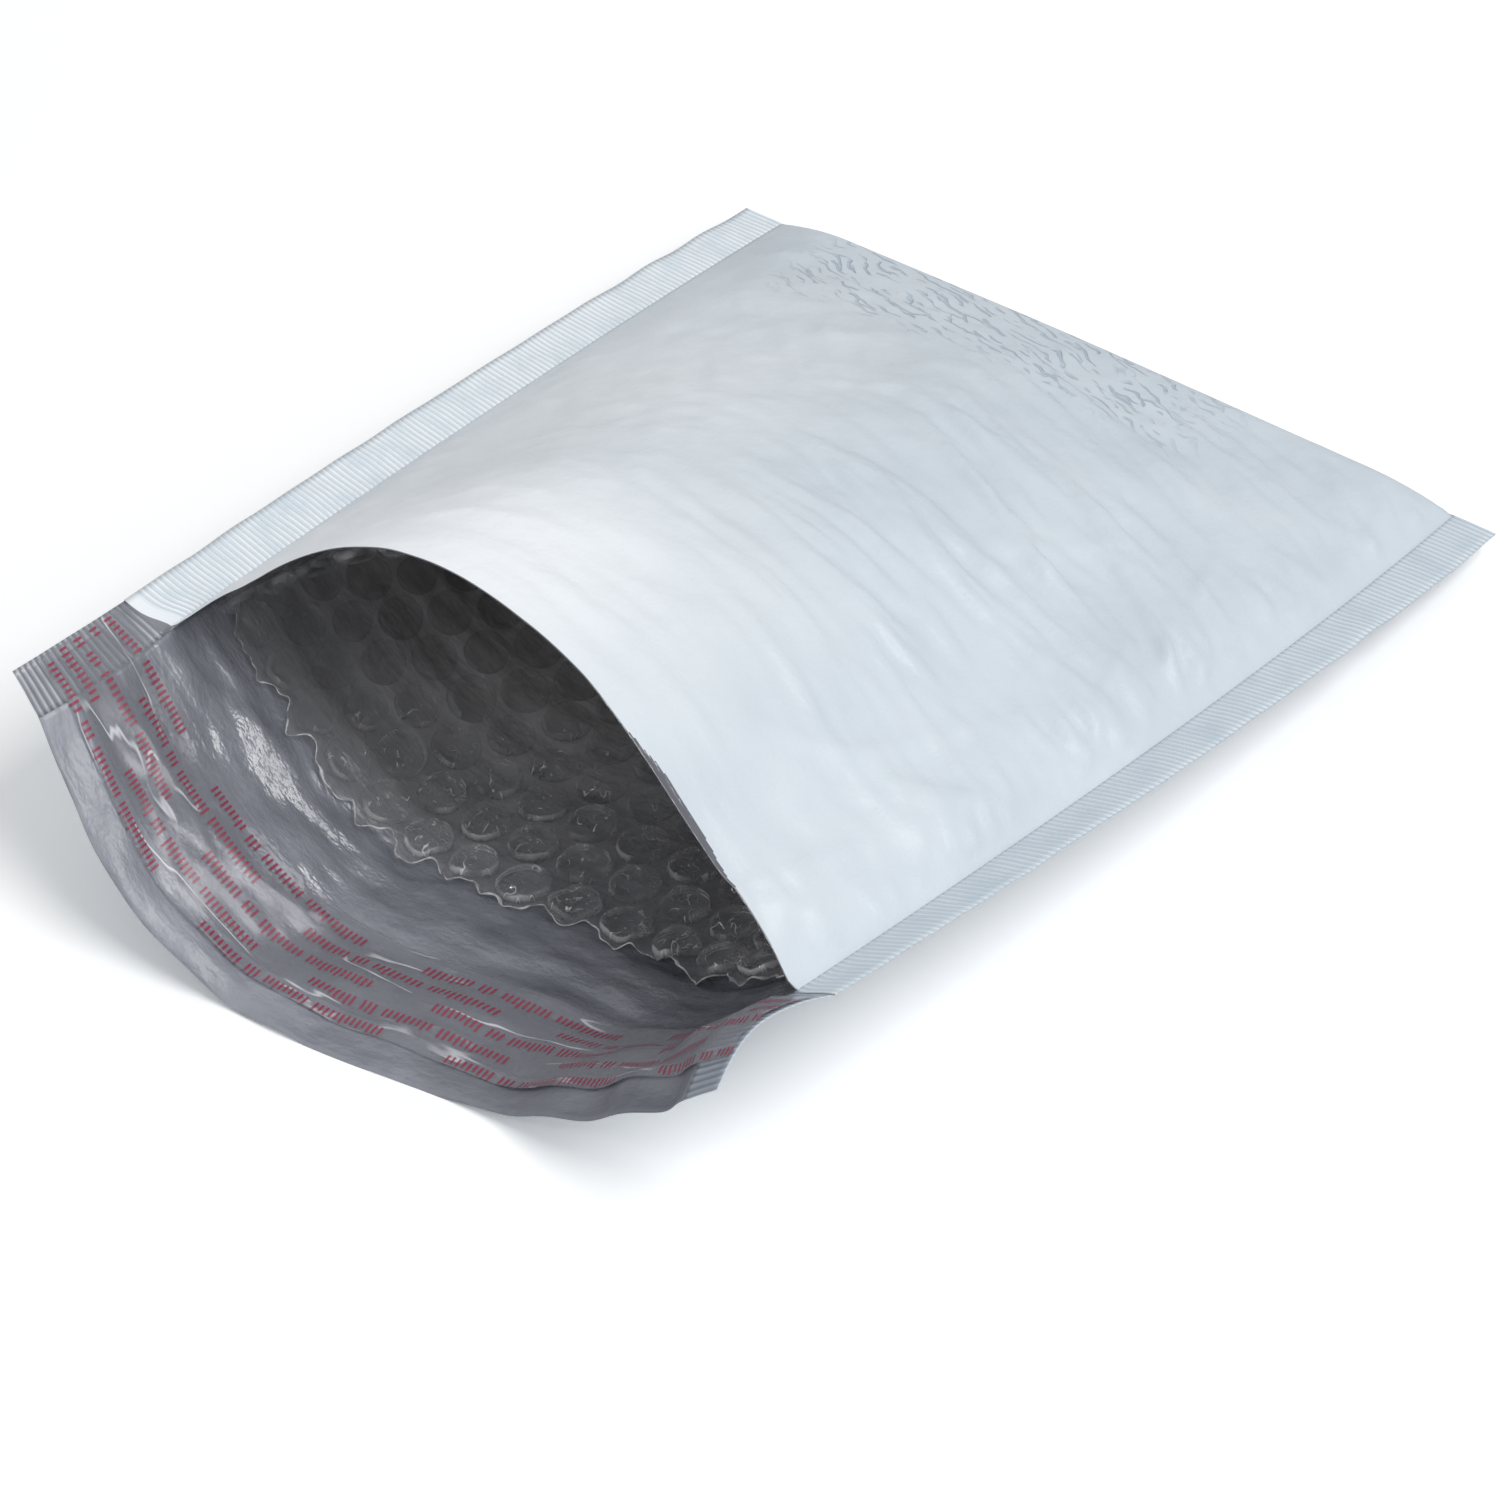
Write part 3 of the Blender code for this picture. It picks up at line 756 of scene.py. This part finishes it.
def greyFilm():
    # Silver-grey glossy inner face: cloudy colour, painted light inside the pocket for light that comes
    # through the white film, painted shade to the right, and darkest at the rim's lip. Streaks across the
    # web are bump.
    look = greyLook
    material, tree, shader = shaderOf("grey_film")
    maths, times, rest = mathsOf(tree)
    mm = flatCoordinate(tree)
    s, v = partsOf(tree, mm)
    cloud = rampOf(tree, noiseOf(tree, mm, 0.06, 4), (0.3, look["dark"]), (0.7, look["light"]))
    # Painted light inside the pocket on its left, painted shade toward its right
    inside = rest(rangeOf(tree, maths("ABSOLUTE", v), 150.0, 208.0))
    pocket = mixColour(tree, rangeOf(tree, s, -50.0, 30.0), look["pocketPaintedLight"], look["pocketPaintedShade"])
    colour = mixColour(tree, inside, cloud, pocket)
    # Painted shade to the right, and darkest at the rim's lip
    shade = maths("MAXIMUM", times(rangeOf(tree, s, -20.0, 55.0), 0.42),
                  times(rangeOf(tree, v, 206.0, 212.0), 0.8))
    tree.links.new(mixColour(tree, shade, colour, look["lip"]), shader.inputs["Base Color"])
    # Duller at the flap's end, which the liner doesn't cover
    gloss = addNode(tree, "ShaderNodeMapRange", look["gloss"])
    tree.links.new(noiseOf(tree, mm, 0.11, 3), gloss.inputs["Value"])
    end = times(rangeOf(tree, times(v, -1.0), 238.0, 243.0), 0.46)
    tree.links.new(maths("MAXIMUM", gloss.outputs["Result"], end), shader.inputs["Roughness"])
    shader.inputs["IOR"].default_value = look["ior"]
    fine = times(noiseOf(tree, flatCoordinate(tree, 520), 0.3, 3, 0.6), 0.16)
    streaks = noiseOf(tree, flatCoordinate(tree, 260), 0.085, 2, 0.45)
    bumpTo(tree, shader, maths("ADD", streaks, fine), 0.0052, 0.8)
    return material


clearLook = {
    "lining": {"name": "clear_film", "edge": 0.42, "face": 0.15, "roughness": 0.07,
               "tint": (0.55, 0.54, 0.55), "through": (0.99, 0.99, 0.99)},
    "bubbles": {"name": "bubble_film", "edge": 0.34, "face": 0.02, "roughness": 0.05,
                "tint": (0.85, 0.85, 0.87), "through": (1, 1, 1), "ior": 2.6},
    "cut": {"name": "lining_edge_film", "edge": 1.0, "face": 0.75, "roughness": 0.16,
            "tint": (1.0, 1.0, 1.0), "through": (0.97, 0.97, 0.98)},
    "adhesive": {"name": "adhesive_film", "edge": 0.3, "face": 0.06, "roughness": 0.3,
                 "tint": (0.4, 0.4, 0.42), "through": (0.97, 0.97, 0.98)},
    "liner": {"name": "release_liner_film", "edge": 0.6, "face": 0.2, "roughness": 0.2,
              "tint": (0.42, 0.43, 0.47), "through": (0.97, 0.97, 0.98)},
}


def clearFilm(look):
    # Clear film: see-through face on, more solid where it turns edge on, and glossy. It is a mix of a
    # transparent and a Principled shader by how far the surface faces away.
    material, tree, shader = shaderOf(look["name"])
    shader.inputs["Base Color"].default_value = (*look["tint"], 1)
    shader.inputs["Roughness"].default_value = look["roughness"]
    shader.inputs["IOR"].default_value = look.get("ior", 1.8)
    facing = addNode(tree, "ShaderNodeLayerWeight", {"Blend": 0.35}).outputs["Facing"]
    clear = addNode(tree, "ShaderNodeBsdfTransparent", {"Color": (*look["through"], 1)})
    edge = rampOf(tree, facing, (0.15, (look["face"],) * 3), (0.95, (look["edge"],) * 3))
    mix = mixShader(tree, edge, clear.outputs["BSDF"], shader.outputs["BSDF"])
    tree.links.new(mix.outputs["Shader"], tree.nodes["Material Output"].inputs["Surface"])
    return material, tree, mix, edge


def bubbleFilm():
    # The bubbles' thin film: clearer than the flat layer, with painted highlights: a bright broken ring at
    # the foot, fine bright wrinkle lines and small glints on the crumpled caps, which fade out deeper in the
    # pocket and up its left side.
    material, tree, mix, edge = clearFilm(clearLook["bubbles"])
    maths, times, rest = mathsOf(tree)
    mm = flatCoordinate(tree)
    s, v = partsOf(tree, mm)
    near = times(maths("MULTIPLY_ADD", rangeOf(tree, maths("ABSOLUTE", v), 145.0, 200.0), 0.8, 0.2),
                 maths("MULTIPLY_ADD", rangeOf(tree, s, -60.0, -15.0), 0.75, 0.25))
    # Painted highlights: thin bright wrinkle lines, a broken ring at each cap's foot and small specks make the
    # film more solid and white there
    wrinkle = maths("ABSOLUTE", maths("SUBTRACT", noiseOf(tree, mm, 0.2, 2, 0.5), 0.5))
    thin = times(rest(rangeOf(tree, wrinkle, 0.0, 0.012)), patchesOf(tree, mm, 0.45, 1, 0.46, 0.58), 0.85)
    out = lengthOf(tree, addNode(tree, "ShaderNodeUVMap", uv_map="cap").outputs["UV"])
    foot = times(rangeOf(tree, out, 0.86, 0.93), rest(rangeOf(tree, out, 0.95, 0.999)),
                 patchesOf(tree, mm, 0.16, 1, 0.42, 0.64), 0.55)
    speck = times(patchesOf(tree, mm, 0.9, 2, 0.6, 0.7, 0.7), patchesOf(tree, mm, 0.13, 1, 0.47, 0.6),
                  maths("LESS_THAN", out, 0.97), 0.8)
    paintedGlints = times(maths("ADD", maths("MAXIMUM", thin, speck), foot), near)
    edge = times(edge, maths("MULTIPLY_ADD", near, 0.6, 0.4))
    tree.links.new(maths("ADD", edge, paintedGlints), mix.inputs["Fac"])
    return material


def edgeFilm():
    # The lining's cut edge, with painted highlights in short stretches, where it catches the light.
    material, tree, mix, edge = clearFilm(clearLook["cut"])
    maths, times = mathsOf(tree)[:2]
    # Painted highlights: the edge is more solid and white in noisy stretches
    paintedGlintStretches = maths("MULTIPLY_ADD", patchesOf(tree, flatCoordinate(tree), 0.3, 2, 0.4, 0.6), 0.75, 0.25)
    tree.links.new(times(edge, paintedGlintStretches), mix.inputs["Fac"])
    return material


# Marks on the release liner: rows of short red dashes in four groups that repeat, in place of words
marks = {"rows": 5, "rowPitch": 4.3, "height": 2.2, "first": 6.0, "dash": 1.2, "line": 0.42, "period": 48,
         "shift": 20, "groups": ((4, 4.4), (11, 1.4), (18, 4.4), (30, 6.4)),
         "ink": {"Base Color": (0.34, 0.04, 0.085, 1), "Roughness": 0.35},
         "creased": {"Base Color": (0.85, 0.86, 0.9, 1), "Roughness": 0.3}}


def linerFilm():
    # Clear liner with the marks: a dash shows where its row, its place and its group allow, and its
    # height in the row varies with its number. Long thin creases, where stretched noise is near its
    # middle, get a painted highlight.
    material, tree, mix = clearFilm(clearLook["liner"])[:3]
    maths, times, rest = mathsOf(tree)
    mm = flatCoordinate(tree)
    s, v = partsOf(tree, mm)
    past = maths("SUBTRACT", times(v, -1.0), envelope["depth"] + marks["first"])
    row = maths("DIVIDE", past, marks["rowPitch"])
    rowNumber = maths("FLOOR", row)
    whichRows = times(maths("GREATER_THAN", row, 0.0), maths("LESS_THAN", row, marks["rows"] - 0.2))
    along = maths("ADD", maths("DIVIDE", s, marks["dash"]), times(rowNumber, float(marks["shift"])))
    along = maths("ADD", along, 40.0 * marks["period"])
    cell = maths("FLOOR", along)
    inGroup = 0.0
    place = maths("MODULO", cell, float(marks["period"]))
    for middle, reach in marks["groups"]:
        inGroup = maths("MAXIMUM", inGroup, maths("COMPARE", place, middle, reach))
    uneven = maths("FRACT", times(maths("SINE", times(maths("ADD", cell, rowNumber), 12.9)), 43.7))
    tall = times(maths("MULTIPLY_ADD", uneven, 0.35, 0.65), marks["height"] / marks["rowPitch"])
    inRow = maths("LESS_THAN", maths("FRACT", row), tall)
    inDash = maths("LESS_THAN", maths("FRACT", along), marks["line"])
    shown = times(inRow, whichRows, inDash, inGroup)
    ink = addNode(tree, "ShaderNodeBsdfPrincipled", marks["ink"])
    # Painted highlight along long thin creases
    crease = maths("ABSOLUTE", maths("SUBTRACT", noiseOf(tree, flatCoordinate(tree, 160), 0.1, 3, 0.5), 0.5))
    crease = times(rest(rangeOf(tree, crease, 0.0, 0.014)), patchesOf(tree, mm, 0.07, 2, 0.42, 0.6))
    paintedCreaseShading = addNode(tree, "ShaderNodeBsdfPrincipled", marks["creased"])
    creased = mixShader(tree, times(crease, 0.6), mix.outputs["Shader"], paintedCreaseShading.outputs["BSDF"])
    over = mixShader(tree, times(shown, 0.85), creased.outputs["Shader"], ink.outputs["BSDF"])
    tree.links.new(over.outputs["Shader"], tree.nodes["Material Output"].inputs["Surface"])
    return material


# Camera, in the photograph's square frame of 1506 pixels
view = {"azimuth": 36.49, "elevation": 43.5, "distance": 758.8, "focal": 3890.5, "frame": 1506,
        "target": (18.34, 60.92, 15.59), "sensor": 36, "clipStart": 0.01}


def makeCamera():
    # A camera at a distance from its target, along the direction that the two angles give.
    a, e = math.radians(view["azimuth"]), math.radians(view["elevation"])
    back = Vector((math.sin(a) * math.cos(e), -math.cos(a) * math.cos(e), math.sin(e)))
    right = Vector((math.cos(a), math.sin(a), 0))
    up = back.cross(right)
    data = bpy.data.cameras.new("camera")
    data.sensor_width = view["sensor"]
    data.lens = view["focal"] / view["frame"] * view["sensor"]
    data.clip_start = view["clipStart"]
    camera = bpy.data.objects.new("camera", data)
    place = (Vector(view["target"]) + back * view["distance"]) * 0.001
    camera.matrix_world = Matrix.Translation(place) @ Matrix((right, up, back)).transposed().to_4x4()
    bpy.context.scene.collection.objects.link(camera)
    bpy.context.scene.camera = camera


studio = {
    "sky": 0.52, "skySeen": 1.1, "skyColour": (0.96, 0.98, 1, 1),
    "floorSize": 6.0, "floor": (0.72, 0.72, 0.73), "floorNear": (1.17, 1.17, 1.17), "floorFar": (3.2, 3.2, 3.2),
    "aim": (0.02, 0.07, 0.02),
    "lamps": {
        "soft": {"power": 2.5, "size": 0.7, "place": (1.1, 0.14, 0.64)},
        "glint": {"power": 5.0, "size": 0.5, "place": (0.56, 0.08, 0.93)},
        "back": {"power": 0.6, "size": 0.8, "place": (-0.5, 0.57, 0.8)},
        "spark": {"power": 0.6, "size": 0.2, "place": (-0.3, -0.75, 0.85)},
    },
}


def makeStudio():
    # White floor, even sky and four soft lamps. Seen directly the floor and the sky are white, and far
    # from the envelope the seen floor is lifted further, so that it stays white.
    scene = bpy.context.scene
    size = studio["floorSize"]
    floorMesh = bpy.data.meshes.new("floor")
    corners = [(-size, -size, 0), (size, -size, 0), (size, size, 0), (-size, size, 0)]
    floorMesh.from_pydata(corners, [], [(0, 1, 2, 3)])
    floor = bpy.data.objects.new("floor", floorMesh)
    scene.collection.objects.link(floor)
    material, tree, shader = shaderOf("floor")
    path = addNode(tree, "ShaderNodeLightPath")
    far = lengthOf(tree, addNode(tree, "ShaderNodeTexCoord").outputs["Object"])
    seen = mixColour(tree, rangeOf(tree, far, 0.25, 1.6), studio["floorNear"], studio["floorFar"])
    setSurface(tree, shader, 1, 0, mixColour(tree, path.outputs["Is Camera Ray"], studio["floor"], seen))
    floorMesh.materials.append(material)

    world = bpy.data.worlds.new("sky")
    scene.world = world
    world.use_nodes = True
    tree = world.node_tree
    background = tree.nodes["Background"]
    path = addNode(tree, "ShaderNodeLightPath")
    strength = addNode(tree, "ShaderNodeMix", data_type="FLOAT")
    strength.inputs["A"].default_value = studio["sky"]
    strength.inputs["B"].default_value = studio["skySeen"]
    tree.links.new(path.outputs["Is Camera Ray"], strength.inputs["Factor"])
    tree.links.new(strength.outputs["Result"], background.inputs["Strength"])
    background.inputs["Color"].default_value = studio["skyColour"]

    for name, values in studio["lamps"].items():
        light = bpy.data.lights.new(name, "AREA")
        light.shape = "SQUARE"
        light.size = values["size"]
        light.energy = values["power"]
        lamp = bpy.data.objects.new(name, light)
        scene.collection.objects.link(lamp)
        lamp.location = values["place"]
        lamp.rotation_euler = (Vector(studio["aim"]) - lamp.location).to_track_quat("-Z", "Y").to_euler()
    scene.view_settings.view_transform = "Standard"


print("camera and studio")
makeCamera()
makeStudio()

print("film and seals")
white, grey = whiteFilm(), greyFilm()
filmPiece = makeFilm()
sealPieces = [makeSeal(-1), makeSeal(1)]
ribbed = [ribbedFilm(ribbedLook["white"]), ribbedFilm(ribbedLook["grey"])]
for piece, looks in ((filmPiece, (white, grey)), (sealPieces[0], ribbed), (sealPieces[1], ribbed)):
    for look in looks:
        piece.data.materials.append(look)

print("bubble lining")
liningPiece = makeLining()
bubblePiece = makeBubbles()
beadPiece = makeBead()
liningPiece.data.materials.append(clearFilm(clearLook["lining"])[0])
bubblePiece.data.materials.append(bubbleFilm())
beadPiece.data.materials.append(edgeFilm())

print("flap strips")
adhesivePiece = makeFlapStrip("adhesive_layer", "adhesive")
adhesivePiece.data.materials.append(clearFilm(clearLook["adhesive"])[0])
linerPiece = makeFlapStrip("release_liner_strip", "liner")
linerPiece.data.materials.append(linerFilm())

for piece in [filmPiece, liningPiece, bubblePiece, beadPiece, adhesivePiece, linerPiece] + sealPieces:
    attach(piece, "root")
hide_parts("outer_film")
for piece in sealPieces:
    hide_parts("outer_film")
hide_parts("bubble_lining")
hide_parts("bubble_lining")
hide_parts("bubble_lining")
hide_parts("adhesive_strip")
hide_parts("release_liner")
